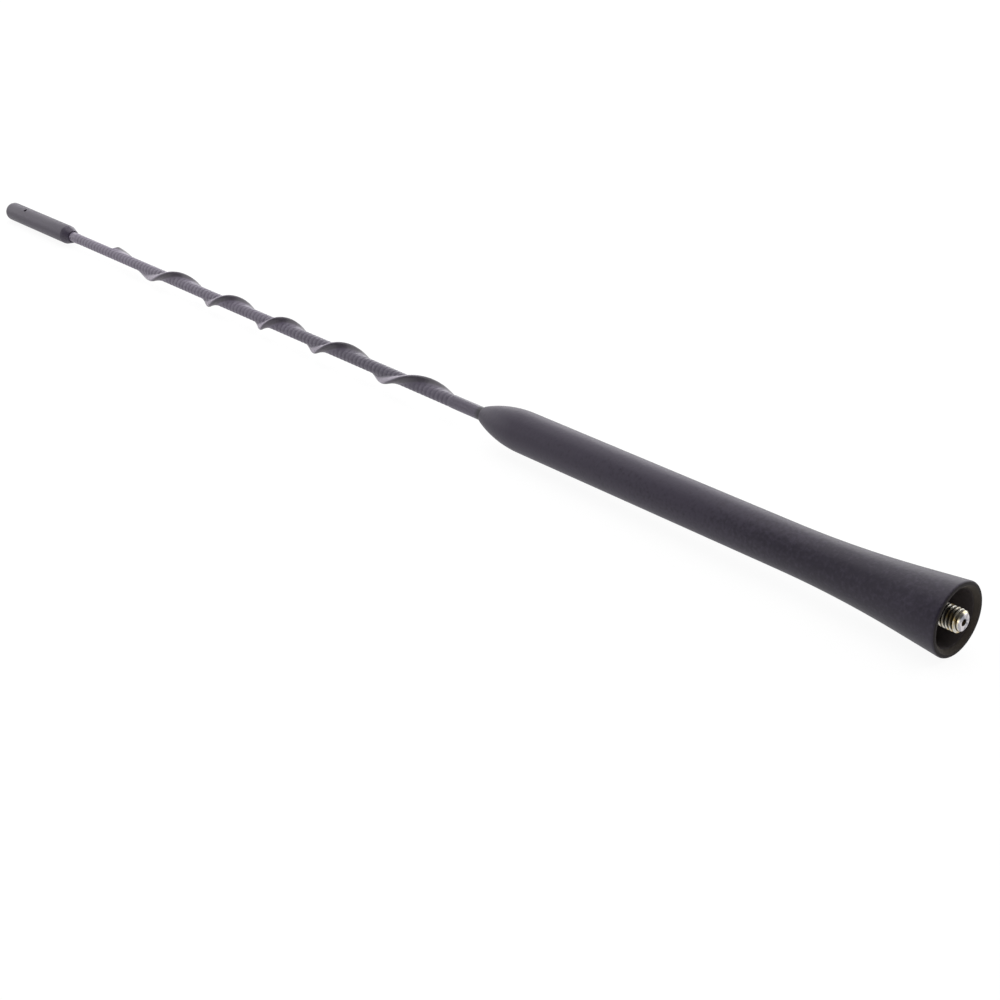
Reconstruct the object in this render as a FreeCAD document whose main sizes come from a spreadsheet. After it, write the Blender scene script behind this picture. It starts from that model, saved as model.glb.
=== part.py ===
import FreeCAD, Part
import math
import operator
import os
import Sketcher

# Roof antenna: a rigid whip on a moulded boot, screwed to a car by the stud in the boot's rim.
# The mast is drawn upright, rim plane at Z = 0 and tip at the top, then laid along +X by one placement.

# Driving dimensions in millimetres, angles in degrees
SIZES = {
    # moulded boot
    "boot_length": 139.0,
    "grip_wall": 1.98,
    "rim_flare": 2.87,
    "flare_length": 41.8,
    "skirt_length": 10.3,
    "nose_length": 15.5,
    "nose_wall": 0.405,
    "rim_wall": 1.85,
    "rim_lip_radius": 1.0,
    "recess_depth": 6.5,
    "recess_draft": 0.3,
    "bore_gap": 0.1,
    # turned ferrule with the stud
    "stud_diameter": 5.0,
    "stud_reach": 1.2,
    "stud_chamfer": 0.7,
    "centre_hole_diameter": 1.4,
    "centre_hole_depth": 1.3,
    "collar_flats": 8.0,
    "collar_thickness": 3.0,
    "collar_stand": 0.5,
    "barrel_wall": 1.95,
    "barrel_length": 61.0,
    "crimp_spacing": 8.0,
    "crimp_width": 2.5,
    "crimp_depth": 0.6,
    "crimp_set_back": 9.0,
    "socket_depth": 26.0,
    "winding_seat_depth": 4.0,
    # rod and winding
    "core_diameter": 2.2,
    "winding_thickness": 0.25,
    # sheath
    "neck_wall": 0.395,
    "ridged_wall": 0.31,
    "shoulder_wall": 0.35,
    "neck_length": 12.0,
    "plain_length": 25.54,
    "shoulder_length": 4.5,
    "sheath_step": 0.8,
    # spiral rib on the sheath
    "rib_height": 1.56,
    "rib_land": 1.1,
    "rib_root_depth": 0.08,
    "rib_set_off": 8.0,
    "rib_start_angle": 269.5,
    "near_pitch": 35.6,
    "near_turns": 1.36,
    "middle_pitch": 27.7,
    "middle_turns": 2.54,
    "outer_pitch": 34.3,
    "outer_turns": 0.95,
    "end_pitch": 60.0,
    "end_turns": 0.505,
    "near_run_out": 6.5,
    "far_run_out": 2.0,
    "run_out_margin": 0.4,
    # cap
    "cap_wall": 1.43,
    "cap_length": 46.3,
    "cap_taper": 3.8,
    "cap_lip": 0.15,
    "cap_end_radius": 2.3,
    "cap_end_thickness": 9.5,
    "mouth_gap": 0.2,
    "mouth_depth": 1.0,
    "cap_gap": 0.05,
    "sheath_grip": 19.8,
    "vent_diameter": 1.3,
    "vent_set_in": 4.0,
    "vent_angle": 22.0,
    "blind_end_gap": 3.0,
}
RIB_STRETCHES = ("near", "middle", "outer", "end")
LYING = FreeCAD.Placement(FreeCAD.Vector(0, 0, 0), FreeCAD.Rotation(FreeCAD.Vector(1, 1, 1), 120))

doc = FreeCAD.newDocument("roof_antenna")
sheet = doc.addObject("Spreadsheet::Sheet", "Sizes")
for row, (alias, number) in enumerate(SIZES.items(), start=1):
    sheet.set(f"A{row}", alias.replace("_", " "))
    sheet.set(f"B{row}", str(number))
    sheet.setAlias(f"B{row}", alias)
doc.recompute()


class Length:
    """A size with its value now and its expression on the sheet."""

    def __init__(self, value, text):
        self.value = value
        self.text = text

    def joined(self, sign, action, other):
        if not isinstance(other, Length):
            other = Length(other, str(other))
        return Length(action(self.value, other.value), f"({self.text} {sign} {other.text})")

    def __add__(self, other):
        return self.joined("+", operator.add, other)

    def __sub__(self, other):
        return self.joined("-", operator.sub, other)

    def __mul__(self, other):
        return self.joined("*", operator.mul, other)

    def __truediv__(self, other):
        return self.joined("/", operator.truediv, other)

    def __neg__(self):
        return Length(-self.value, f"(-{self.text})")

    def at_most(self, limit):
        return Length(min(self.value, limit.value), f"min({self.text}; {limit.text})")


size = {alias: Length(float(sheet.get(alias)), f"Sizes.{alias}") for alias in SIZES}
nothing = Length(0.0, "0")

# Heights up the mast that several pieces share
collar_face = size["recess_depth"] - size["collar_stand"]
collar_back = collar_face + size["collar_thickness"]
barrel_mouth = collar_back + size["barrel_length"]
socket_floor = barrel_mouth - size["socket_depth"]
winding_start = barrel_mouth - size["winding_seat_depth"]
neck_end = size["boot_length"] + size["neck_length"]
rib_start = size["boot_length"] + size["rib_set_off"]
rib_end = rib_start
for stretch in RIB_STRETCHES:
    rib_end = rib_end + size[f"{stretch}_pitch"] * size[f"{stretch}_turns"]
cap_mouth = rib_end + size["plain_length"]
shoulder_start = cap_mouth - size["shoulder_length"]
sheath_end = cap_mouth + size["sheath_grip"]
tip = cap_mouth + size["cap_length"]
blind_end = tip - size["cap_end_thickness"]
core_end = blind_end - size["blind_end_gap"]

# Radii that several pieces share
core_radius = size["core_diameter"] / 2
winding_radius = core_radius + size["winding_thickness"]
barrel_radius = winding_radius + size["barrel_wall"]
neck_radius = winding_radius + size["neck_wall"]
ridged_radius = winding_radius + size["ridged_wall"]
shoulder_radius = winding_radius + size["shoulder_wall"]
rib_root = ridged_radius - size["rib_root_depth"]
rib_crest = ridged_radius + size["rib_height"]


def bind(target, name, length):
    target.setExpression(name, length.text)


def origin_plane(body, role):
    return next(plane for plane in body.Origin.OriginFeatures if plane.Role == role)


def new_body(name):
    return doc.addObject("PartDesign::Body", name)


def new_sketch(body, name, role):
    sketch = body.newObject("Sketcher::SketchObject", name)
    sketch.AttachmentSupport = (origin_plane(body, role), [""])
    sketch.MapMode = "FlatFace"
    return sketch


def pin_down(sketch, index, end, across, up):
    # ties one end of an element to its place; None leaves that coordinate to the tangents
    for kind, length in (("DistanceX", across), ("DistanceY", up)):
        if length is nothing:
            axis = -2 if kind == "DistanceX" else -1
            sketch.addConstraint(Sketcher.Constraint("PointOnObject", index, end, axis))
        elif length is not None:
            place = sketch.addConstraint(Sketcher.Constraint(kind, -1, 1, index, end, length.value))
            bind(sketch, f"Constraints[{place}]", length)


def flat_arc(flat, far):
    # arc that leaves the corner flat along the mast and ends at the corner far, drawn anticlockwise
    rise = far[1] - flat[1]
    run = far[0] - flat[0]
    radius = (rise * rise + run * run) / (2 * abs(run))
    centre = FreeCAD.Vector(flat[0] + math.copysign(radius, run), flat[1], 0)
    start, end = (math.atan2(point[1] - centre.y, point[0] - centre.x) for point in (flat, far))
    backwards = math.sin(end - start) < 0
    if backwards:
        start, end = end, start
    return Part.ArcOfCircle(Part.Circle(centre, FreeCAD.Vector(0, 0, 1), radius), start, end), backwards


def draw_outline(sketch, corners, flats=(), smooth=()):
    # closed outline through (radius, height) corners. flats maps a corner to the end of the arc that leaves it
    # at which it runs along the mast; smooth lists corners where the two elements beside it are tangent
    points = [(corner[0].value, corner[1].value) for corner in corners]
    elements = []
    for number, corner in enumerate(corners):
        following = (number + 1) % len(corners)
        if number in flats:
            flat, far = (number, following) if flats[number] == "start" else (following, number)
            arc, backwards = flat_arc(points[flat], points[far])
            first = 1 if (flat == number) != backwards else 2
            elements.append((sketch.addGeometry(arc), first, 3 - first))
        else:
            ends = [FreeCAD.Vector(*points[place], 0) for place in (number, following)]
            elements.append((sketch.addGeometry(Part.LineSegment(*ends)), 1, 2))
    for number, corner in enumerate(corners):
        before, _, last = elements[number - 1]
        after, first, _ = elements[number]
        kind = "Tangent" if number in smooth else "Coincident"
        sketch.addConstraint(Sketcher.Constraint(kind, before, last, after, first))
    for number, corner in enumerate(corners):
        free = len(corner) > 2
        pin_down(sketch, elements[number][0], elements[number][1], None if free else corner[0], corner[1])


def turned(body, corners, flats=(), smooth=()):
    # solid of revolution about the mast's axis
    sketch = new_sketch(body, f"{body.Name}_outline", "XZ_Plane")
    draw_outline(sketch, corners, flats, smooth)
    solid = body.newObject("PartDesign::Revolution", f"{body.Name}_turned")
    solid.Profile = sketch
    solid.ReferenceAxis = (sketch, ["V_Axis"])
    solid.Angle = 360
    doc.recompute()
    return solid


def round_ring(body, base, radius, height, rounding):
    # rounds the circular edge of this radius at this height
    names = []
    for place, edge in enumerate(base.Shape.Edges, start=1):
        curve = edge.Curve
        if not isinstance(curve, Part.Circle):
            continue
        offset = max(abs(curve.Radius - radius.value), abs(curve.Center.z - height.value))
        if offset < 1e-4:
            names.append(f"Edge{place}")
    fillet = body.newObject("PartDesign::Fillet", f"{body.Name}_rounded")
    fillet.Base = (base, names)
    bind(fillet, "Radius", rounding)


def crimp_corners():
    # outside of the barrel from the collar to its mouth, with two crimps squeezed onto the rod
    corners = [(barrel_radius, collar_back)]
    middle = barrel_mouth - size["crimp_set_back"]
    half = size["crimp_width"] / 2
    slope = size["crimp_depth"]
    for height in (middle - size["crimp_spacing"], middle):
        corners += [
            (barrel_radius, height - half - slope),
            (barrel_radius - slope, height - half),
            (barrel_radius - slope, height + half),
            (barrel_radius, height + half + slope),
        ]
    return corners


def make_ferrule():
    body = new_body("threaded_ferrule")
    stud_radius = size["stud_diameter"] / 2
    stud_end = -size["stud_reach"]
    hole_radius = size["centre_hole_diameter"] / 2
    corners = [
        (nothing, stud_end + size["centre_hole_depth"] + hole_radius),
        (hole_radius, stud_end + size["centre_hole_depth"]),
        (hole_radius, stud_end),
        (stud_radius - size["stud_chamfer"], stud_end),
        (stud_radius, stud_end + size["stud_chamfer"]),
        (stud_radius, collar_back),
    ]
    corners += crimp_corners()
    corners += [
        (barrel_radius, barrel_mouth),
        (winding_radius, barrel_mouth),
        (winding_radius, winding_start),
        (core_radius, winding_start),
        (core_radius, socket_floor),
        (nothing, socket_floor),
    ]
    turned(body, corners)
    # hexagonal collar, which the moulded boot grips
    sketch = new_sketch(body, "collar_outline", "XY_Plane")
    bind(sketch, "AttachmentOffset.Base.z", collar_face)
    across = size["collar_flats"] / math.sqrt(3)
    sides = []
    for number in range(6):
        ends = [math.radians(60 * (number + step)) for step in (0, 1)]
        points = [FreeCAD.Vector(across.value * math.cos(a), across.value * math.sin(a), 0) for a in ends]
        sides.append(sketch.addGeometry(Part.LineSegment(*points)))
    circle = sketch.addGeometry(Part.Circle(FreeCAD.Vector(), FreeCAD.Vector(0, 0, 1), across.value), True)
    sketch.addConstraint(Sketcher.Constraint("Coincident", circle, 3, -1, 1))
    for number, side in enumerate(sides):
        sketch.addConstraint(Sketcher.Constraint("Coincident", side, 2, sides[(number + 1) % 6], 1))
        sketch.addConstraint(Sketcher.Constraint("PointOnObject", side, 1, circle))
        if number:
            sketch.addConstraint(Sketcher.Constraint("Equal", sides[0], side))
    sketch.addConstraint(Sketcher.Constraint("PointOnObject", sides[0], 1, -1))
    reach = sketch.addConstraint(Sketcher.Constraint("Radius", circle, across.value))
    bind(sketch, f"Constraints[{reach}]", across)
    collar = body.newObject("PartDesign::Pad", "collar")
    collar.Profile = sketch
    bind(collar, "Length", size["collar_thickness"])
    body.Placement = LYING
    return body


def make_boot(ferrule):
    # moulded over the ferrule, so the blank gives up the room that the ferrule takes
    blank = new_body("boot_blank")
    bore_radius = neck_radius + size["bore_gap"]
    nose_radius = bore_radius + size["nose_wall"]
    grip_radius = barrel_radius + size["grip_wall"]
    rim_radius = grip_radius + size["rim_flare"]
    mouth_radius = rim_radius - size["rim_wall"]
    grip_end = size["boot_length"] - size["nose_length"]
    spread = (rim_radius - grip_radius) / (size["flare_length"] + size["skirt_length"])
    skirt_top = rim_radius - spread * size["skirt_length"] * 2
    corners = [
        (mouth_radius, nothing),
        (rim_radius, nothing),
        (skirt_top, size["skirt_length"], "free"),
        (grip_radius, size["flare_length"]),
        (grip_radius, grip_end),
        (nose_radius, size["boot_length"]),
        (bore_radius, size["boot_length"]),
        (bore_radius, size["recess_depth"]),
        (mouth_radius - size["recess_draft"], size["recess_depth"]),
    ]
    solid = turned(blank, corners, flats={2: "end", 4: "start"}, smooth=(2, 3, 4))
    rim_lip = size["rim_lip_radius"].at_most(size["rim_wall"] * 0.9)
    round_ring(blank, solid, rim_radius, nothing, rim_lip)
    blank.Placement = LYING
    boot = doc.addObject("Part::Cut", "base_boot")
    boot.Base = blank
    boot.Tool = ferrule
    return boot


def make_core():
    core = doc.addObject("Part::Cylinder", "core_rod")
    core.Placement = LYING
    bind(core, "Radius", core_radius)
    bind(core, "Height", core_end - socket_floor)
    bind(core, "Placement.Base.x", socket_floor)
    return core


def make_winding():
    # one sleeve stands for the close turns of the wire
    body = new_body("wire_winding")
    corners = [
        (core_radius, winding_start),
        (winding_radius, winding_start),
        (winding_radius, sheath_end),
        (core_radius, sheath_end),
    ]
    turned(body, corners)
    body.Placement = LYING
    return body


def rib_section(name, start, angle):
    # tented section of the rib, square to the mast: a narrow land and flanks that run out tangent to the wall
    half = size["rib_land"] / 2
    reach = math.hypot(rib_crest.value, half.value)
    lean = math.atan2(half.value, rib_crest.value) + math.acos(rib_root.value / reach)
    sketch = doc.addObject("Sketcher::SketchObject", name)
    corners = [FreeCAD.Vector(rib_crest.value, side * half.value, 0) for side in (-1, 1)]
    land = sketch.addGeometry(Part.LineSegment(*corners))
    circle = Part.Circle(FreeCAD.Vector(), FreeCAD.Vector(0, 0, 1), rib_root.value)
    root = sketch.addGeometry(Part.ArcOfCircle(circle, -lean, lean))
    for end, corner in enumerate(corners, start=1):
        side = math.copysign(lean, corner.y)
        foot = FreeCAD.Vector(math.cos(side), math.sin(side), 0) * rib_root.value
        flank = sketch.addGeometry(Part.LineSegment(foot, corner))
        sketch.addConstraint(Sketcher.Constraint("Tangent", root, end, flank, 1))
        sketch.addConstraint(Sketcher.Constraint("Coincident", flank, 2, land, end))
    sketch.addConstraint(Sketcher.Constraint("Coincident", root, 3, -1, 1))
    sketch.addConstraint(Sketcher.Constraint("Symmetric", land, 1, land, 2, -1))
    sizing = (
        (rib_root, ("Radius", root)),
        (rib_crest, ("DistanceX", -1, 1, land, 1)),
        (size["rib_land"], ("DistanceY", land, 1, land, 2)),
    )
    for length, terms in sizing:
        place = sketch.addConstraint(Sketcher.Constraint(*terms, length.value))
        bind(sketch, f"Constraints[{place}]", length)
    set_on_mast(sketch, start, angle)
    return sketch


def set_on_mast(target, start, angle):
    target.Placement = FreeCAD.Placement(FreeCAD.Vector(), FreeCAD.Rotation(FreeCAD.Vector(0, 0, 1), 0))
    bind(target, "Placement.Base.z", start)
    bind(target, "Placement.Rotation.Angle", angle)


def make_rib():
    # left-hand spiral in stretches of their own pitch, trimmed by a spindle so that it runs out at both ends
    start = rib_start
    angle = size["rib_start_angle"]
    coils = []
    for stretch in RIB_STRETCHES:
        pitch = size[f"{stretch}_pitch"]
        turns = size[f"{stretch}_turns"]
        path = doc.addObject("Part::Helix", f"{stretch}_path")
        path.LocalCoord = "Left-handed"
        bind(path, "Pitch", pitch)
        bind(path, "Height", pitch * turns)
        bind(path, "Radius", rib_crest)
        set_on_mast(path, start, angle)
        coil = doc.addObject("Part::Sweep", f"{stretch}_coil")
        coil.Sections = [rib_section(f"{stretch}_section", start, angle)]
        coil.Spine = (path, ["Edge1"])
        coil.Solid = True
        coil.Frenet = True
        coils.append(coil)
        start = start + pitch * turns
        angle = angle - turns * 360
    whole = doc.addObject("Part::MultiFuse", "whole_rib")
    whole.Shapes = coils
    spindle = new_body("rib_spindle")
    girth = rib_crest + size["run_out_margin"]
    corners = [
        (nothing, rib_start),
        (rib_root, rib_start),
        (girth, rib_start + size["near_run_out"]),
        (girth, rib_end - size["far_run_out"]),
        (rib_root, rib_end),
        (nothing, rib_end),
    ]
    turned(spindle, corners)
    rib = doc.addObject("Part::Common", "spiral_rib")
    rib.Base = whole
    rib.Tool = spindle
    return rib


def make_sheath():
    # moulded in one piece: smooth neck, slimmer middle with the rib, smooth shoulder inside the cap
    tube = new_body("sheath_tube")
    corners = [
        (winding_radius, barrel_mouth),
        (neck_radius, barrel_mouth),
        (neck_radius, neck_end),
        (ridged_radius, neck_end + size["sheath_step"]),
        (ridged_radius, shoulder_start),
        (shoulder_radius, shoulder_start + size["sheath_step"]),
        (shoulder_radius, sheath_end),
        (winding_radius, sheath_end),
    ]
    turned(tube, corners)
    sheath = doc.addObject("Part::Fuse", "whip_sheath")
    sheath.Base = tube
    sheath.Tool = make_rib()
    sheath.Placement = LYING
    return sheath


def make_cap():
    body = new_body("tip_cap")
    cap_radius = shoulder_radius + size["cap_wall"]
    mouth_radius = shoulder_radius + size["mouth_gap"]
    end_radius = size["cap_end_radius"].at_most(cap_radius * 0.9)
    grip_radius = shoulder_radius + size["cap_gap"]
    blind_radius = core_radius + size["cap_gap"]
    seat = cap_mouth + size["mouth_depth"]
    corners = [
        (mouth_radius, cap_mouth),
        (mouth_radius + size["cap_lip"], cap_mouth),
        (cap_radius, cap_mouth + size["cap_taper"]),
        (cap_radius, tip - end_radius),
        (cap_radius - end_radius, tip),
        (nothing, tip),
        (nothing, blind_end),
        (blind_radius, blind_end),
        (blind_radius, sheath_end),
        (grip_radius, sheath_end),
        (grip_radius, seat),
        (mouth_radius, seat),
    ]
    turned(body, corners, flats={3: "start"}, smooth=(3,))
    # vent from the blind end of the bore to the cap's side, a little off the top
    sketch = new_sketch(body, "vent_outline", "XZ_Plane")
    lean = FreeCAD.Rotation(FreeCAD.Vector(0, -1, 0), size["vent_angle"].value)
    sketch.AttachmentOffset = FreeCAD.Placement(FreeCAD.Vector(), lean)
    bind(sketch, "AttachmentOffset.Rotation.Angle", size["vent_angle"])
    height = blind_end - size["vent_set_in"]
    radius = size["vent_diameter"] / 2
    ring = Part.Circle(FreeCAD.Vector(0, height.value, 0), FreeCAD.Vector(0, 0, 1), radius.value)
    hole = sketch.addGeometry(ring)
    pin_down(sketch, hole, 3, nothing, height)
    place = sketch.addConstraint(Sketcher.Constraint("Radius", hole, radius.value))
    bind(sketch, f"Constraints[{place}]", radius)
    vent = body.newObject("PartDesign::Pocket", "vent")
    vent.Profile = sketch
    vent.Type = "Length"
    bind(vent, "Length", cap_radius)
    body.Placement = LYING
    return body


ferrule = make_ferrule()
sub_parts = [ferrule, make_boot(ferrule), make_core(), make_winding(), make_sheath(), make_cap()]
doc.recompute()

for item in doc.Objects:
    if "Invalid" in item.State or "Error" in item.State:
        raise RuntimeError(f"{item.Name} failed: {item.State}")
for part in sub_parts:
    if part.Shape.isNull() or not part.Shape.isValid() or len(part.Shape.Solids) != 1:
        raise RuntimeError(f"{part.Name} is not one valid solid")

os.makedirs("parts", exist_ok=True)
for part in sub_parts:
    part.Label = part.Name
    part.Shape.exportStep(f"parts/{part.Label}.step")
    print(part.Label, "volume", round(part.Shape.Volume, 2), "mm3")
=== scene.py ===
import bmesh
import bpy
import math
from mathutils import Matrix, Vector


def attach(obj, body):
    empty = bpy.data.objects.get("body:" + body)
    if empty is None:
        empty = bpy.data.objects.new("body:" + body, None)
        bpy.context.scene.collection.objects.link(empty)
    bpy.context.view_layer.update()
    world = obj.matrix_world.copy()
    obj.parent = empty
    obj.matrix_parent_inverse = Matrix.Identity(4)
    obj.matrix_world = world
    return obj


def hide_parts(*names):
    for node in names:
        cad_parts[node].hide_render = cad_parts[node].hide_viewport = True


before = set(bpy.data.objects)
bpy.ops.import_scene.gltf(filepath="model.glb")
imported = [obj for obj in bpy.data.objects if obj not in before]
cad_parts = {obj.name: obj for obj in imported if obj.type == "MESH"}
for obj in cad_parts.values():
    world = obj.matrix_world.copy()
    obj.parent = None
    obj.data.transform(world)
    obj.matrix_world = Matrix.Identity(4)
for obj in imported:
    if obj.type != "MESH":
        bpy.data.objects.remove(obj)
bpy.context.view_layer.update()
mm = 0.001  # lengths in the dictionaries are in millimetres, unless a note says otherwise
mastAxis = Vector((1, 0, 0))
# distances in metres within which points are joined, cut as one or taken to lie at an end
weldGap = 0.000001
cutGap = 0.0000001
endGap = 0.00001


# shader maths: a Wire is an output socket that can be added, subtracted, multiplied and raised to a power
class Wire:
    def __init__(self, finish, socket):
        self.finish = finish
        self.socket = socket

    def __add__(self, other):
        return self.finish.maths("ADD", self, other)

    def __radd__(self, other):
        return self.finish.maths("ADD", other, self)

    def __sub__(self, other):
        return self.finish.maths("SUBTRACT", self, other)

    def __rsub__(self, other):
        return self.finish.maths("SUBTRACT", other, self)

    def __mul__(self, other):
        return self.finish.maths("MULTIPLY", self, other)

    def __pow__(self, other):
        return self.finish.maths("POWER", self, other)

    def sibling(self, name):
        return Wire(self.finish, self.socket.node.outputs[name])


# a Finish is one material, with the nodes that feed its surface
class Finish:
    def __init__(self, name, **constants):
        self.material = bpy.data.materials.new(name)
        self.material.use_nodes = True
        self.tree = self.material.node_tree
        self.surface = self.tree.nodes["Principled BSDF"]
        for socket, value in constants.items():
            self.surface.inputs[socket.replace("_", " ")].default_value = value
        self.place = self.node("ShaderNodeTexCoord", output="Object")

    def node(self, kind, settings=None, inputs=None, output=0):
        made = self.tree.nodes.new(kind)
        for name, value in (settings or {}).items():
            setattr(made, name, value)
        for name, value in (inputs or {}).items():
            if isinstance(value, Wire):
                self.tree.links.new(value.socket, made.inputs[name])
            else:
                made.inputs[name].default_value = value
        return Wire(self, made.outputs[output])

    def maths(self, operation, *values):
        return self.node("ShaderNodeMath", {"operation": operation}, dict(enumerate(values)))

    def feed(self, name, wire):
        self.tree.links.new(wire.socket, self.surface.inputs[name])

    def noise(self, scale, detail=3.0, roughness=0.55, stretch=None):
        spot = self.place
        if stretch:
            spot = self.node("ShaderNodeMapping", None, {"Vector": spot, "Scale": (stretch, 1, 1)})
        return self.node("ShaderNodeTexNoise", None,
                         {"Vector": spot, "Scale": scale, "Detail": detail, "Roughness": roughness})

    def mottle(self, look):
        # broad patches drawn out along the mast, and a fine grain
        patches = self.noise(look["patchScale"], detail=4.0, roughness=0.6, stretch=look["patchStretch"])
        return patches, self.noise(look["grainScale"], detail=2.0, roughness=0.5)

    def spread(self, wire, low, high, toLow=0.0, toHigh=1.0):
        return self.node("ShaderNodeMapRange", {"interpolation_type": "SMOOTHSTEP"},
                         {"Value": wire, "From Min": low, "From Max": high,
                          "To Min": toLow, "To Max": toHigh})

    def band(self, wire, limits, results=(0.0, 1.0)):
        return self.spread(wire, limits[0] * mm, limits[1] * mm, *results)

    def mix(self, factor, first, second):
        return self.node("ShaderNodeMix", {"data_type": "RGBA"}, {0: factor, 6: first, 7: second}, 2)

    def axes(self):
        along = self.node("ShaderNodeSeparateXYZ", None, {0: self.place})
        return along, along.sibling("Y"), along.sibling("Z")

    def bump(self, height, strength, distance):
        return self.node("ShaderNodeBump", None,
                         {"Height": height, "Strength": strength, "Distance": distance})


def tint(red, green, blue):
    return (red, green, blue, 1.0)


def fromAxis(across, up):
    return (across * across + up * up) ** 0.5


# in the looks, a Span or Reach is where a band begins and is full, a Share is how much of it
# shows, and a Bump is a strength and a height in metres
violetSheen = tint(0.97, 0.90, 1.0)


# boot rubber: charcoal with a faint violet cast, fine moulded grain, paler towards the nose; the end of the
# rim carries painted shade and painted light
bootLook = {
    "dark": tint(0.015, 0.012, 0.0225),
    "pale": tint(0.036, 0.0295, 0.048),
    "lip": tint(0.014, 0.0115, 0.0095),
    "bevel": tint(0.038, 0.031, 0.021),
    "hollowPaintedLight": tint(0.062, 0.053, 0.052),
    "grainScale": 1150,
    "patchScale": 70,
    "patchStretch": 0.35,
    "patchShare": 0.45,
    "grainShare": 0.55,
    "toneSpan": (0.36, 0.64),
    "towardsNoseSpan": (0.0, 140.0),
    "towardsNoseTone": (-0.07, 0.19),
    "lipSpan": (1.1, 0.8),
    "lipReach": (8.0, 7.75),
    "hollowSpan": (7.5, 6.8),
    "hollowReach": (6.34, 6.24),
    "bevelReach": (7.3, 7.1),
    "bevelPatches": (0.2, 0.5),
    "roughness": 0.38,
    "patchRoughness": 0.16,
    "grainRoughness": 0.06,
    "lipRoughness": 0.3,
    "grainBump": (0.45, 0.0001),
}


def makeBootFinish(look):
    rubber = Finish("bootRubber", IOR=1.42, Specular_Tint=violetSheen)
    patches, grain = rubber.mottle(look)
    along, across, up = rubber.axes()
    reach = fromAxis(across, up)
    # the tone rises from the rim towards the nose
    tone = patches * look["patchShare"] + grain * look["grainShare"] \
        + rubber.band(along, look["towardsNoseSpan"], look["towardsNoseTone"])
    skin = rubber.mix(rubber.spread(tone, *look["toneSpan"]), look["dark"], look["pale"])
    # the end of the rim is rougher, and painted darker as a painted shade where it faces away from the light
    lip = rubber.band(along, look["lipSpan"]) * rubber.band(reach, look["lipReach"])
    # the inner wall of the rim's hollow is painted lighter, a painted pool of light where it is lit from
    # above
    hollow = rubber.band(along, look["hollowSpan"]) * rubber.band(reach, look["hollowReach"])
    skin = rubber.mix(hollow, skin, look["hollowPaintedLight"])
    skin = rubber.mix(lip, skin, look["lip"])
    # painted light, in patches, on the inner edge of the rim's mouth where it catches the light
    bevel = lip * rubber.band(reach, look["bevelReach"]) * rubber.spread(patches, *look["bevelPatches"])
    rubber.feed("Base Color", rubber.mix(bevel, skin, look["bevel"]))
    rubber.feed("Roughness", look["roughness"] + patches * look["patchRoughness"]
                + grain * look["grainRoughness"] + lip * look["lipRoughness"])
    rubber.feed("Normal", rubber.bump(grain, *look["grainBump"]))
    return rubber.material


# ridges left by the winding, counted from the middle of the whip and growing apart towards the tip
ridges = {
    "middle": 250.0,
    "perMillimetre": 0.5615,
    "thinning": -0.000225,
}


def ridgeCount(place):
    fromMiddle = place - ridges["middle"]
    return fromMiddle * (ridges["perMillimetre"] + fromMiddle * ridges["thinning"])


# sheath plastic: lighter than the boot, dark in the grooves of the winding, paler towards the tip, with
# painted shade and painted light on the two sides of the fin
sheathLook = {
    "dark": tint(0.073, 0.061, 0.091),
    "pale": tint(0.115, 0.097, 0.140),
    "groove": tint(0.045, 0.037, 0.055),
    "neckDark": tint(0.016, 0.014, 0.018),
    "paintedFinShade": tint(0.050, 0.043, 0.052),
    "paleScuffAndPaintedLight": tint(0.375, 0.335, 0.405),
    "tipwardPale": tint(0.248, 0.210, 0.286),
    "patchScale": 90,
    "patchStretch": 0.4,
    "grainScale": 1800,
    "patchShare": 0.7,
    "grainShare": 0.3,
    "toneSpan": (0.32, 0.68),
    "ridgesStart": (150.6, 151.6),
    "ridgesEnd": (350.0, 349.2),
    "ridgesReach": (1.95, 1.72),
    "grooveSpan": (0.55, 0.0),
    "grooveShare": 0.28,
    "tipwardPaleSpan": (150.0, 335.0),
    "tipwardPaleShare": 0.5,
    "neckDarkSpan": (141.6, 140.0),
    "neckDarkShare": 0.85,
    "paintedFinShadeShare": 0.75,
    "paleScuffAndPaintedLightShare": 0.85,
    "roughness": 0.36,
    "patchRoughness": 0.16,
    "grooveRoughness": 0.2,
    "grainBump": (0.25, 0.00004),
}


def makeSheathFinish(look):
    plastic = Finish("sheathPlastic", IOR=1.5)
    patches, grain = plastic.mottle(look)
    along, across, up = plastic.axes()
    reach = fromAxis(across, up)
    turn = plastic.maths("ARCTAN2", up, across)
    wave = plastic.maths("SINE", ridgeCount(along * (1 / mm)) * math.pi + turn * 0.5)
    ridged = plastic.band(along, look["ridgesStart"]) * plastic.band(along, look["ridgesEnd"]) \
        * plastic.band(reach, look["ridgesReach"])
    groove = plastic.spread(wave * wave, *look["grooveSpan"]) * ridged
    tone = patches * look["patchShare"] + grain * look["grainShare"]
    skin = plastic.mix(plastic.spread(tone, *look["toneSpan"]), look["dark"], look["pale"])
    side = plastic.node("ShaderNodeAttribute", {"attribute_name": "finSide"}, output="Fac")
    # paler from the neck towards the tip of the whip, and a dark ring on the neck where it leaves the boot
    for name in ("tipwardPale", "neckDark"):
        amount = plastic.band(along, look[name + "Span"]) * look[name + "Share"]
        skin = plastic.mix(amount, skin, look[name])
    # painted shade on the side of the fin that faces the boot, and painted light on the other, where the
    # light falls from the tip's side
    for name, facing in (("paintedFinShade", -1.0), ("paleScuffAndPaintedLight", 1.0)):
        amount = plastic.spread(side, 0.0, facing) * look[name + "Share"]
        skin = plastic.mix(amount, skin, look[name])
    plastic.feed("Base Color", plastic.mix(groove * look["grooveShare"], skin, look["groove"]))
    plastic.feed("Roughness", look["roughness"] + patches * look["patchRoughness"]
                 + groove * look["grooveRoughness"])
    plastic.feed("Normal", plastic.bump(grain, *look["grainBump"]))
    return plastic.material


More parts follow.
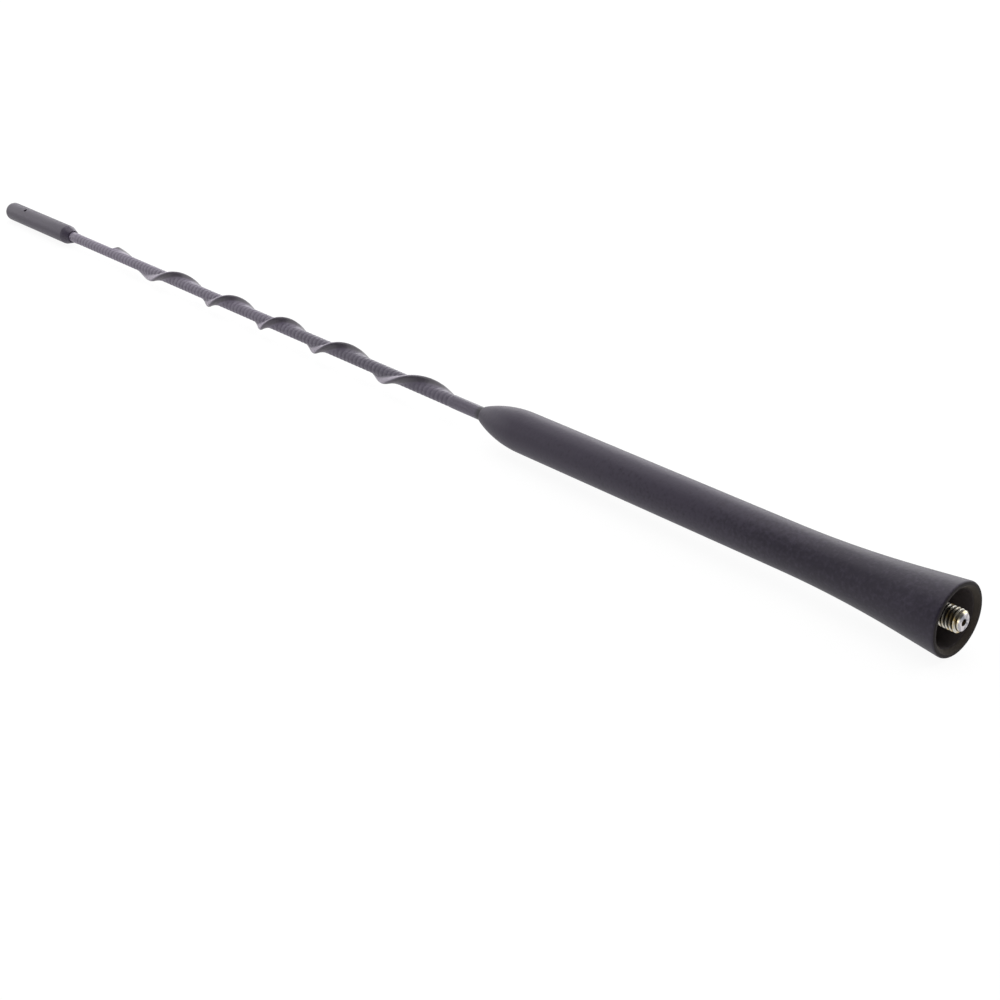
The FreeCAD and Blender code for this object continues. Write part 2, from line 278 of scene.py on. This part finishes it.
# cap rubber: charcoal like the boot, a little paler, and scuffed at the tip
capLook = {
    "dark": tint(0.029, 0.022, 0.040),
    "pale": tint(0.049, 0.038, 0.065),
    "paleScuffAndPaintedLight": tint(0.140, 0.130, 0.140),
    "patchScale": 110,
    "patchStretch": 0.5,
    "grainScale": 1600,
    "patchShare": 0.7,
    "grainShare": 0.3,
    "toneSpan": (0.32, 0.68),
    "tipSpan": (397.0, 400.0),
    "tipPatches": (0.35, 0.7),
    "tipShare": 0.7,
    "roughness": 0.38,
    "patchRoughness": 0.16,
    "grainBump": (0.3, 0.00005),
}


def makeCapFinish(look):
    rubber = Finish("capRubber", IOR=1.5, Specular_Tint=violetSheen)
    patches, grain = rubber.mottle(look)
    along = rubber.axes()[0]
    tone = patches * look["patchShare"] + grain * look["grainShare"]
    skin = rubber.mix(rubber.spread(tone, *look["toneSpan"]), look["dark"], look["pale"])
    tip = rubber.band(along, look["tipSpan"]) * rubber.spread(patches, *look["tipPatches"])
    rubber.feed("Base Color", rubber.mix(tip * look["tipShare"], skin, look["paleScuffAndPaintedLight"]))
    rubber.feed("Roughness", look["roughness"] + patches * look["patchRoughness"])
    rubber.feed("Normal", rubber.bump(grain, *look["grainBump"]))
    return rubber.material


# plated brass: pale nickel worn through to yellow, and darker in the thread roots
studLook = {
    "nickel": tint(0.62, 0.60, 0.54),
    "brass": tint(0.52, 0.40, 0.19),
    "rootDark": tint(0.060, 0.050, 0.036),
    "face": tint(0.22, 0.22, 0.25),
    "paleFace": tint(0.62, 0.59, 0.60),
    "wearScale": 700,
    "speckleScale": 2800,
    "wearSpan": (0.42, 0.62),
    "faceWear": (0.40, 0.58),
    "faceSpan": (-1.05, -1.17),
    "crestReach": (2.22, 2.42),
    "crestWander": 0.2,
    "threadStart": (-0.55, -0.35),
    "threadEnd": (6.6, 6.2),
    "rootDarkShare": 0.85,
    "roughness": 0.22,
    "wearRoughness": 0.18,
    "rootDarkRoughness": 0.25,
    "speckleBump": (0.15, 0.00004),
}


def makeStudFinish(look):
    plate = Finish("platedBrass", Metallic=1.0)
    along, across, up = plate.axes()
    reach = fromAxis(across, up)
    wear = plate.noise(look["wearScale"], detail=4.0, roughness=0.6)
    speckle = plate.noise(look["speckleScale"], detail=2.0, roughness=0.5)
    worn = plate.mix(plate.spread(wear, *look["wearSpan"]), look["nickel"], look["brass"])
    crest = plate.band(reach + wear * (look["crestWander"] * mm), look["crestReach"])
    thread = plate.band(along, look["threadStart"]) * plate.band(along, look["threadEnd"])
    outsideRoots = 1 - thread * (1 - crest) * look["rootDarkShare"]
    # the cut end is painted a darker bluish grey, a painted reflection of the dim surroundings it faces,
    # with random paler patches
    paintedEndFace = plate.mix(plate.spread(wear, *look["faceWear"]), look["face"], look["paleFace"])
    worn = plate.mix(plate.band(along, look["faceSpan"]), worn, paintedEndFace)
    plate.feed("Base Color", plate.mix(outsideRoots, look["rootDark"], worn))
    plate.feed("Roughness", look["roughness"] + wear * look["wearRoughness"]
               + (1 - outsideRoots) * look["rootDarkRoughness"])
    plate.feed("Normal", plate.bump(speckle, *look["speckleBump"]))
    return plate.material


# resin-bonded glass rod, inside the winding
rodLook = {
    "dark": tint(0.62, 0.58, 0.44),
    "pale": tint(0.80, 0.78, 0.70),
    "strandScale": 900,
    "strandStretch": 0.02,
    "roughness": 0.3,
    "strandRoughness": 0.2,
}


def makeRodFinish(look):
    glass = Finish("glassFibre", IOR=1.52)
    strands = glass.noise(look["strandScale"], detail=3.0, roughness=0.6, stretch=look["strandStretch"])
    glass.feed("Base Color", glass.mix(strands, look["dark"], look["pale"]))
    glass.feed("Roughness", look["roughness"] + strands * look["strandRoughness"])
    return glass.material


# enamelled copper, inside the sheath
wireLook = {
    "dark": tint(0.60, 0.27, 0.13),
    "pale": tint(0.80, 0.45, 0.26),
    "toneScale": 400,
    "pitch": 1.77,
    "roughness": 0.28,
    "toneRoughness": 0.15,
    "turnBump": (0.5, 0.0001),
}


def makeWireFinish(look):
    copper = Finish("copperWire", Metallic=1.0)
    along = copper.axes()[0]
    turns = copper.maths("SINE", along * (2 * math.pi / (look["pitch"] * mm)))
    tone = copper.noise(look["toneScale"])
    copper.feed("Base Color", copper.mix(tone, look["dark"], look["pale"]))
    copper.feed("Roughness", look["roughness"] + tone * look["toneRoughness"])
    copper.feed("Normal", copper.bump(turns, *look["turnBump"]))
    return copper.material


# modelling helpers: a profile is drawn in the XZ plane and turned round the mast
def startProfile(x, radius):
    bm = bmesh.new()
    return bm, bm.verts.new((x * mm, 0, radius * mm))


def linesTo(bm, last, *points):
    for x, radius in points:
        last = bmesh.ops.extrude_vert_indiv(bm, verts=[last])["verts"][0]
        last.co = (x * mm, 0, radius * mm)
    return last


def arcRound(bm, last, x, radius, degrees, steps):
    made = bmesh.ops.spin(bm, geom=[last], cent=(x * mm, 0, radius * mm), axis=(0, 1, 0),
                          angle=math.radians(degrees), steps=steps)
    return next(item for item in made["geom_last"] if isinstance(item, bmesh.types.BMVert))


def roundOff(bm, corner, size, segments):
    bmesh.ops.bevel(bm, geom=[corner], offset=size * mm, offset_type="OFFSET", segments=segments,
                    profile=0.5, affect="VERTICES", material=-1)


def turnRound(bm, steps):
    bmesh.ops.spin(bm, geom=bm.verts[:] + bm.edges[:], cent=(0, 0, 0), axis=mastAxis,
                   angle=2 * math.pi, steps=steps, use_merge=True)
    bmesh.ops.remove_doubles(bm, verts=bm.verts, dist=weldGap)


def finishPiece(bm, name, node, material, sharpAngle):
    bmesh.ops.recalc_face_normals(bm, faces=bm.faces)
    mesh = bpy.data.meshes.new(name)
    bm.to_mesh(mesh)
    bm.free()
    mesh.polygons.foreach_set("use_smooth", [True] * len(mesh.polygons))
    mesh.set_sharp_from_angle(angle=math.radians(sharpAngle))
    mesh.materials.append(material)
    piece = bpy.data.objects.new(name, mesh)
    bpy.context.collection.objects.link(piece)
    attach(piece, "root")
    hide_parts(node)
    print(name, "built,", len(mesh.polygons), "faces")
    return piece


def hexReach(angle, flats):
    turned = angle % (math.pi / 3) - math.pi / 6
    return flats / 2 / math.cos(turned)


# moulded boot; a rounding is its size and its number of segments
boot = {
    "length": 139.0,
    "rimRadius": 8.095,
    "gripRadius": 5.28,
    "flareEnd": 41.8,
    "flareSteps": 20,
    "skirtEnd": 10.3,
    "noseStart": 123.5,
    "noseRadius": 2.25,
    "noseSteps": 24,
    "boreRadius": 1.845,
    "mouthRadius": 7.2,
    "throatRadius": 6.25,
    "throatDepth": 0.9,
    "floorRadius": 6.0,
    "recessDepth": 6.5,
    "throatRounding": (0.3, 4),
    "innerRounding": (0.08, 4),
    "outerRounding": (0.6, 10),
    "noseRounding": (0.06, 2),
    "funnelWidth": 0.32,
    "funnelDepth": 0.96,
    "collarFlats": 8.04,
    "collarBack": 9.0,
    "hexEnd": 10.0,
    "hexMargin": 0.01,
    "barrelRadius": 3.3,
    "barrelMouth": 70.0,
    "segments": 120,
    "sharpAngle": 35,
}


def makeBoot(part, material):
    slope = 2 * (part["rimRadius"] - part["gripRadius"]) / (part["flareEnd"] + part["skirtEnd"])
    lean = math.atan(slope)
    flareRadius = (part["flareEnd"] - part["skirtEnd"]) / 2 / math.tan(lean / 2)
    noseRise = part["length"] - part["noseStart"]
    noseDrop = part["gripRadius"] - part["noseRadius"]
    noseCurve = (noseRise ** 2 + noseDrop ** 2) / (2 * noseDrop)
    holeRadius = part["collarFlats"] / 2
    bm, first = startProfile(part["recessDepth"], holeRadius)
    throat = linesTo(bm, first, (part["recessDepth"], part["floorRadius"]),
                     (part["throatDepth"], part["throatRadius"]))
    inner = linesTo(bm, throat, (0, part["mouthRadius"]))
    outer = linesTo(bm, inner, (0, part["rimRadius"]))
    last = linesTo(bm, outer, (part["flareEnd"] - flareRadius * math.sin(lean),
                               part["gripRadius"] + flareRadius * (1 - math.cos(lean))))
    last = arcRound(bm, last, part["flareEnd"], part["gripRadius"] + flareRadius,
                    -math.degrees(lean), part["flareSteps"])
    last = linesTo(bm, last, (part["noseStart"], part["gripRadius"]))
    nose = arcRound(bm, last, part["noseStart"], part["gripRadius"] - noseCurve,
                    math.degrees(math.asin(noseRise / noseCurve)), part["noseSteps"])
    last = linesTo(bm, nose, (part["length"], part["boreRadius"] + part["funnelWidth"]),
                   (part["length"] - part["funnelDepth"], part["boreRadius"]),
                   (part["barrelMouth"], part["boreRadius"]),
                   (part["barrelMouth"], part["barrelRadius"]),
                   (part["collarBack"], part["barrelRadius"]),
                   (part["collarBack"], holeRadius))
    bm.edges.new((last, first))
    roundOff(bm, throat, *part["throatRounding"])
    roundOff(bm, inner, *part["innerRounding"])
    roundOff(bm, outer, *part["outerRounding"])
    roundOff(bm, nose, *part["noseRounding"])
    turnRound(bm, part["segments"])
    # the hole in the recess floor follows the ferrule's hexagonal collar
    for vert in bm.verts:
        offEdge = abs(math.hypot(vert.co.y, vert.co.z) - holeRadius * mm)
        if vert.co.x < part["hexEnd"] * mm and offEdge < part["hexMargin"] * mm:
            stretch = hexReach(math.atan2(vert.co.z, vert.co.y), part["collarFlats"]) / holeRadius
            vert.co.y *= stretch
            vert.co.z *= stretch
    finishPiece(bm, "moulded_boot", "base_boot", material, part["sharpAngle"])


# turned ferrule: threaded stud, hexagonal collar and crimped barrel; a tooth is drawn by shares of the pitch
ferrule = {
    "studEnd": -1.2,
    "studOverlap": 0.2,
    "crestRadius": 2.46,
    "rootRadius": 2.0,
    "pitch": 0.8,
    "tooth": ((0.12, "rootRadius"), (0.44, "crestRadius"), (0.56, "crestRadius"), (0.88, "rootRadius"),
              (1.0, "rootRadius")),
    "spareTurns": 2,
    "chamferRadius": 1.8,
    "holeRadius": 0.75,
    "holeDepth": 1.3,
    "holePoint": 0.001,
    "collarFace": 6.0,
    "collarBack": 9.0,
    "collarFlats": 8.0,
    "barrelRadius": 3.3,
    "barrelMouth": 70.0,
    "boreRadius": 1.36,
    "socketFloor": 44.0,
    "crimps": (53.0, 61.0),
    "crimpWidth": 2.5,
    "crimpDepth": 0.6,
    "stepsPerTurn": 72,
    "sharpAngle": 25,
}


def makeFerrule(part, material):
    pitch, steps = part["pitch"], part["stepsPerTurn"]
    studBack = part["collarFace"] + part["studOverlap"]
    turns = math.ceil((part["collarFace"] - part["studEnd"]) / pitch) + part["spareTurns"]
    start = part["studEnd"] - pitch
    # one tooth, wound up the stud as a right-hand thread
    bm, last = startProfile(start, part["rootRadius"])
    linesTo(bm, last, *((start + share * pitch, part[radius]) for share, radius in part["tooth"]))
    bmesh.ops.spin(bm, geom=bm.verts[:] + bm.edges[:], cent=(0, 0, 0), axis=mastAxis,
                   angle=2 * math.pi * turns, dvec=mastAxis * (pitch * mm / steps), steps=turns * steps)
    bmesh.ops.remove_doubles(bm, verts=bm.verts, dist=2 * weldGap)
    for place, way in ((part["studEnd"], -1), (studBack, 1)):
        bmesh.ops.bisect_plane(bm, geom=bm.verts[:] + bm.edges[:] + bm.faces[:], dist=cutGap,
                               plane_co=mastAxis * (place * mm), plane_no=mastAxis * way, clear_outer=True)
    # chamfer at the free end
    for vert in bm.verts:
        limit = part["chamferRadius"] * mm + (vert.co.x - part["studEnd"] * mm)
        reach = math.hypot(vert.co.y, vert.co.z)
        if reach > limit:
            vert.co.y *= limit / reach
            vert.co.z *= limit / reach
    # both ends closed, with a centre hole left by the lathe in the free one
    ends = [edge for edge in bm.edges if edge.is_boundary]
    for place in (part["studEnd"], studBack):
        loop = [edge for edge in ends if all(abs(vert.co.x - place * mm) < weldGap for vert in edge.verts)]
        cover = bmesh.ops.contextual_create(bm, geom=loop)["faces"]
        if place == part["studEnd"]:
            ringWidth = (part["chamferRadius"] - part["holeRadius"]) * mm
            bmesh.ops.inset_region(bm, faces=cover, thickness=ringWidth)
            for depth, squeeze in ((part["holeDepth"], 1.0), (part["holeRadius"], part["holePoint"])):
                cover = bmesh.ops.extrude_discrete_faces(bm, faces=cover)["faces"]
                verts = cover[0].verts[:]
                bmesh.ops.translate(bm, verts=verts, vec=mastAxis * (depth * mm))
                bmesh.ops.scale(bm, verts=verts, vec=(1, squeeze, squeeze))
    # hexagonal collar
    collar = bmesh.ops.create_circle(bm, cap_ends=True, segments=6,
                                     radius=part["collarFlats"] / math.sqrt(3) * mm,
                                     matrix=Matrix.Rotation(math.pi / 2, 4, "Y"))["verts"]
    bmesh.ops.rotate(bm, verts=collar, cent=(0, 0, 0), matrix=Matrix.Rotation(math.pi / 2, 3, "X"))
    bmesh.ops.translate(bm, verts=collar, vec=mastAxis * (part["collarFace"] * mm))
    plate = next(face for face in bm.faces if all(vert in collar for vert in face.verts))
    drawn = bmesh.ops.extrude_face_region(bm, geom=[plate])["geom"]
    bmesh.ops.translate(bm, verts=[item for item in drawn if isinstance(item, bmesh.types.BMVert)],
                        vec=mastAxis * ((part["collarBack"] - part["collarFace"]) * mm))
    # barrel with its two crimps
    barrel, last = startProfile(part["socketFloor"], 0)
    last = linesTo(barrel, last, (part["socketFloor"], part["boreRadius"]),
                   (part["barrelMouth"], part["boreRadius"]), (part["barrelMouth"], part["barrelRadius"]))
    half = part["crimpWidth"] / 2
    waist = part["barrelRadius"] - part["crimpDepth"]
    for middle in reversed(part["crimps"]):
        last = linesTo(barrel, last, (middle + half + part["crimpDepth"], part["barrelRadius"]),
                       (middle + half, waist), (middle - half, waist),
                       (middle - half - part["crimpDepth"], part["barrelRadius"]))
    linesTo(barrel, last, (part["collarBack"], part["barrelRadius"]), (part["collarBack"], 0))
    turnRound(barrel, steps)
    joined = bpy.data.meshes.new("barrel")
    barrel.to_mesh(joined)
    barrel.free()
    bm.from_mesh(joined)
    bpy.data.meshes.remove(joined)
    finishPiece(bm, "turned_ferrule", "threaded_ferrule", material, part["sharpAngle"])


# sheath of the whip: ridges over the winding, and a spiral fin whose pitch changes along it; finPath
# gives the fin's turning angle in degrees at places along the mast
sheath = {
    "start": 70.0,
    "shownFrom": 138.0,
    "neckEnd": 151.0,
    "shoulderStart": 349.7,
    "shownTo": 356.0,
    "end": 374.0,
    "neckRadius": 1.745,
    "nearRadius": 1.70,
    "farRadius": 1.65,
    "shoulderRadius": 1.70,
    "stepLength": 0.8,
    "boreRadius": 1.36,
    "nearRidge": 0.065,
    "farRidge": 0.095,
    "ridgeFade": 0.5,
    "finCrest": 3.22,
    "finTip": 0.85,
    "finFeet": (40.0, 63.0),
    "finStart": 146.0,
    "finEnd": 329.0,
    "finRunIn": 7.0,
    "finRunOut": 2.0,
    "finPath": ((146.0, 278.0), (160.5, 133.0), (177.5, -37.0), (195.5, -221.0), (208.5, -389.0),
                (224.5, -575.0), (237.0, -766.0), (251.5, -940.0), (266.0, -1135.0), (283.0, -1309.0),
                (298.5, -1476.0), (323.0, -1628.0), (333.0, -1669.0)),
    "sideAngle": 6.0,
    "sideReach": (1.8, 2.4),
    "columns": 72,
    "bunching": 0.7,
    "rows": 1090,
    "sharpAngle": 60,
}


def between(first, last, share):
    return first + (last - first) * share


def ease(value, low, high):
    share = min(1.0, max(0.0, (value - low) / (high - low)))
    return share * share * (3 - 2 * share)


def finAngle(x, path):
    # smooth curve through the turning angles read along the whip
    if x <= path[0][0] or x >= path[-1][0]:
        near, far = (path[0], path[1]) if x <= path[0][0] else (path[-2], path[-1])
        return near[1] + (far[1] - near[1]) * (x - near[0]) / (far[0] - near[0])
    index = max(number for number, knot in enumerate(path[:-1]) if knot[0] <= x)
    slopes = []
    for number in (index, index + 1):
        before, after = path[max(0, number - 1)], path[min(len(path) - 1, number + 1)]
        slopes.append((after[1] - before[1]) / (after[0] - before[0]))
    near, far = path[index], path[index + 1]
    width = far[0] - near[0]
    share = (x - near[0]) / width
    square, cube = share ** 2, share ** 3
    return (2 * cube - 3 * square + 1) * near[1] + (cube - 2 * square + share) * width * slopes[0] \
        + (3 * square - 2 * cube) * far[1] + (cube - square) * width * slopes[1]


def finReach(angle, wall, crest, tip, feet):
    # section of wall and fin: a round tip, and straight flanks whose feet are set, the far one the steeper
    foot = math.radians(feet[0] if angle > 0 else feet[1])
    angle = abs(angle)
    if angle >= foot:
        return wall
    away = crest - tip
    run, rise = away - wall * math.cos(foot), wall * math.sin(foot)
    lean = math.acos(-tip / math.hypot(run, rise)) - math.atan2(rise, run)
    if angle > math.atan2(tip * math.sin(lean), away + tip * math.cos(lean)):
        return max(wall, (away * math.cos(lean) + tip) / math.cos(angle - lean))
    return max(wall, away * math.cos(angle) + math.sqrt(tip ** 2 - (away * math.sin(angle)) ** 2))


def makeSheath(part, material):
    bm = bmesh.new()
    finSide = bm.verts.layers.float.new("finSide")
    rows, columns = part["rows"], part["columns"]
    bmesh.ops.create_grid(bm, x_segments=rows, y_segments=columns, size=1.0)
    for vert in bm.verts:
        row = round((vert.co.x + 1) / 2 * rows)
        x = part["shownFrom"] + (part["shownTo"] - part["shownFrom"]) * (row - 1) / (rows - 2)
        x = part["start"] if row == 0 else part["end"] if row == rows else x
        # wall: plain at both ends, and ridged between them
        body = ease(x, part["neckEnd"], part["neckEnd"] + part["stepLength"]) \
            * (1 - ease(x, part["shoulderStart"], part["shoulderStart"] + part["stepLength"]))
        taper = (x - part["neckEnd"]) / (part["shoulderStart"] - part["neckEnd"])
        plain = part["neckRadius"] if taper < 0.5 else part["shoulderRadius"]
        wall = between(plain, between(part["nearRadius"], part["farRadius"], taper), body)
        # fin, with more columns near it
        fade = ease(x, part["finStart"], part["finStart"] + part["finRunIn"]) \
            * (1 - ease(x, part["finEnd"] - part["finRunOut"], part["finEnd"]))
        even = vert.co.y * math.pi
        angle = even - part["bunching"] * math.sin(even)
        turn = math.radians(finAngle(x, part["finPath"])) + angle
        crest = between(wall, part["finCrest"], fade)
        reach = finReach(angle, wall, crest, part["finTip"], part["finFeet"])
        # -1 on the side of the fin that faces the boot, 1 on the other and 0 off the fin
        facing = max(-1.0, min(1.0, angle / math.radians(part["sideAngle"])))
        vert[finSide] = facing * ease(reach, *part["sideReach"])
        # ridges, which die out up the sides of the fin
        wave = abs(math.sin(math.pi * ridgeCount(x) + turn / 2))
        depth = between(part["nearRidge"], part["farRidge"], taper)
        reach -= depth * body * (1 - wave) * max(0.0, 1 - (reach - wall) / part["ridgeFade"])
        vert.co = Vector((x, reach * math.cos(turn), reach * math.sin(turn))) * mm
    bmesh.ops.remove_doubles(bm, verts=bm.verts, dist=weldGap)
    # bore over the winding
    rims = [edge for edge in bm.edges if edge.is_boundary]
    upright = Matrix.Rotation(math.pi / 2, 4, "Y")
    for end in (part["start"], part["end"]):
        bmesh.ops.create_circle(bm, segments=columns, radius=part["boreRadius"] * mm,
                                matrix=Matrix.Translation((end * mm, 0, 0)) @ upright)
    wires = [edge for edge in bm.edges if edge.is_wire]
    for end in (part["start"], part["end"]):
        pair = [edge for edge in rims + wires if abs(edge.verts[0].co.x - end * mm) < endGap]
        bmesh.ops.bridge_loops(bm, edges=pair)
    bmesh.ops.bridge_loops(bm, edges=wires)
    finishPiece(bm, "ribbed_sheath", "whip_sheath", material, part["sharpAngle"])


# moulded cap; the rings are extra places along its side that keep the faces short
cap = {
    "mouth": 354.2,
    "taperEnd": 358.0,
    "tip": 400.5,
    "radius": 3.13,
    "rings": (370.0, 380.0, 386.0, 388.0),
    "endRounding": 2.3,
    "endSteps": 14,
    "lipRounding": (0.06, 2),
    "taperRounding": (0.15, 3),
    "mouthRadius": 1.9,
    "lipRadius": 2.05,
    "seat": 355.2,
    "gripRadius": 1.75,
    "gripEnd": 374.0,
    "blindRadius": 1.15,
    "blindEnd": 391.0,
    "ventPlace": 387.0,
    "ventRadius": 0.65,
    "ventAngle": 68.0,
    "ventSegments": 32,
    "drillMiddle": 2.4,
    "drillLength": 4.0,
    "segments": 96,
    "sharpAngle": 35,
}


def makeCap(part, material):
    bm, last = startProfile(part["blindEnd"], 0)
    lip = linesTo(bm, last, (part["blindEnd"], part["blindRadius"]), (part["gripEnd"], part["blindRadius"]),
                  (part["gripEnd"], part["gripRadius"]), (part["seat"], part["gripRadius"]),
                  (part["seat"], part["mouthRadius"]), (part["mouth"], part["mouthRadius"]),
                  (part["mouth"], part["lipRadius"]))
    edge = linesTo(bm, lip, (part["taperEnd"], part["radius"]))
    shoulder = part["tip"] - part["endRounding"]
    last = linesTo(bm, edge, *((x, part["radius"]) for x in (*part["rings"], shoulder)))
    last = arcRound(bm, last, shoulder, part["radius"] - part["endRounding"], 90, part["endSteps"])
    linesTo(bm, last, (part["tip"], 0))
    roundOff(bm, lip, *part["lipRounding"])
    roundOff(bm, edge, *part["taperRounding"])
    turnRound(bm, part["segments"])
    piece = finishPiece(bm, "moulded_cap", "tip_cap", material, part["sharpAngle"])
    # vent drilled from near the top into the blind bore
    aim = math.radians(part["ventAngle"])
    across, up = part["drillMiddle"] * math.cos(aim), part["drillMiddle"] * math.sin(aim)
    middle = Matrix.Translation(Vector((part["ventPlace"], across, up)) * mm)
    drill = bmesh.new()
    bmesh.ops.create_cone(drill, cap_ends=True, segments=part["ventSegments"],
                          radius1=part["ventRadius"] * mm, radius2=part["ventRadius"] * mm,
                          depth=part["drillLength"] * mm,
                          matrix=middle @ Matrix.Rotation(aim - math.pi / 2, 4, "X"))
    cutterMesh = bpy.data.meshes.new("vent")
    drill.to_mesh(cutterMesh)
    drill.free()
    cutter = bpy.data.objects.new("vent", cutterMesh)
    bpy.context.collection.objects.link(cutter)
    hole = piece.modifiers.new("vent", "BOOLEAN")
    hole.object = cutter
    hole.solver = "EXACT"
    bored = bpy.data.meshes.new_from_object(piece.evaluated_get(bpy.context.evaluated_depsgraph_get()))
    piece.modifiers.clear()
    piece.data = bored
    bpy.data.objects.remove(cutter)
    print("vent drilled")


makeBoot(boot, makeBootFinish(bootLook))
makeFerrule(ferrule, makeStudFinish(studLook))
makeSheath(sheath, makeSheathFinish(sheathLook))
makeCap(cap, makeCapFinish(capLook))
for name, material in (("core_rod", makeRodFinish(rodLook)), ("wire_winding", makeWireFinish(wireLook))):
    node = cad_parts[name]
    node.data.materials.clear()
    node.data.materials.append(material)
print("inside pieces finished")


# studio: white floor, tilted to touch the rim and the cap of the lying mast, under a faint white sky;
# the floor's size and the camera's nearest distance are in metres
studio = {
    "floorSize": 20.0,
    "floorTilt": 0.707,
    "floorHeight": -8.046,
    "floorShade": 0.9,
    "floorGlow": 1.03,
    "paper": tint(0.92, 0.92, 0.92),
    "white": tint(1, 1, 1),
    "cameraPlace": (-146.166, 244.189, 151.565),
    "cameraAzimuth": 228.858,
    "cameraElevation": 24.986,
    "lens": 58.228,
    "sensorWidth": 36,
    "nearest": 0.01,
    "worldStrength": 0.08,
}
# each lamp's place, target and size in metres, and its power in watts
lamps = {
    "topBox": ((0.4, -0.22, 1.15), (0.22, -0.05, 0), (1.8, 1.6), 17),
    "backBox": ((0.4, -1.2, 0.5), (0.2, 0, 0.02), (3.2, 0.8), 26),
    "endBox": ((1.7, 0.35, 0.5), (0.2, 0, 0.02), (2.4, 0.95), 13),
    "sideCard": ((-0.85, 0.42, 0.12), (0, 0, 0), (0.22, 0.22), 0.9),
}


def makeFloor(look):
    bm = bmesh.new()
    bmesh.ops.create_grid(bm, x_segments=1, y_segments=1, size=look["floorSize"])
    bmesh.ops.rotate(bm, verts=bm.verts, cent=(0, 0, 0),
                     matrix=Matrix.Rotation(-math.radians(look["floorTilt"]), 3, "Y"))
    bmesh.ops.translate(bm, verts=bm.verts, vec=(0, 0, look["floorHeight"] * mm))
    mesh = bpy.data.meshes.new("floor")
    bm.to_mesh(mesh)
    bm.free()
    # seen directly or mirrored, the paper is mostly a plain white glow
    paper = Finish("floorPaper", Base_Color=look["paper"], Roughness=0.9, Specular_IOR_Level=0.2)
    rays = paper.node("ShaderNodeLightPath", output="Is Camera Ray")
    seen = rays + rays.sibling("Is Glossy Ray") + rays.sibling("Is Transmission Ray")
    glow = paper.node("ShaderNodeEmission", None, {"Color": look["white"], "Strength": look["floorGlow"]})
    lit = Wire(paper, paper.surface.outputs[0])
    blend = paper.node("ShaderNodeMixShader", None, {0: seen * look["floorShade"], 1: lit, 2: glow})
    paper.tree.links.new(blend.socket, paper.tree.nodes["Material Output"].inputs["Surface"])
    mesh.materials.append(paper.material)
    floor = bpy.data.objects.new("floor", mesh)
    bpy.context.collection.objects.link(floor)


def addLamp(name, place, target, size, power):
    lamp = bpy.data.lights.new(name, "AREA")
    lamp.shape = "RECTANGLE"
    lamp.size, lamp.size_y = size
    lamp.energy = power
    holder = bpy.data.objects.new(name, lamp)
    holder.location = place
    holder.rotation_euler = (Vector(target) - Vector(place)).to_track_quat("-Z", "Y").to_euler()
    bpy.context.collection.objects.link(holder)


def addCamera(look):
    lens = bpy.data.cameras.new("camera")
    lens.sensor_width = look["sensorWidth"]
    lens.lens = look["lens"]
    lens.clip_start = look["nearest"]
    holder = bpy.data.objects.new("camera", lens)
    turn, rise = math.radians(look["cameraAzimuth"]), math.radians(look["cameraElevation"])
    sight = Vector((-math.sin(turn) * math.cos(rise), math.cos(turn) * math.cos(rise), -math.sin(rise)))
    holder.location = Vector(look["cameraPlace"]) * mm
    holder.rotation_euler = sight.to_track_quat("-Z", "Y").to_euler()
    bpy.context.collection.objects.link(holder)
    bpy.context.scene.camera = holder


def addSky(look):
    world = bpy.data.worlds.new("studio")
    bpy.context.scene.world = world
    world.use_nodes = True
    sky = world.node_tree.nodes["Background"]
    sky.inputs["Color"].default_value = look["white"]
    sky.inputs["Strength"].default_value = look["worldStrength"]


makeFloor(studio)
for name, (place, target, size, power) in lamps.items():
    addLamp(name, place, target, size, power)
addCamera(studio)
addSky(studio)
bpy.context.scene.view_settings.view_transform = "Standard"
print("studio set")
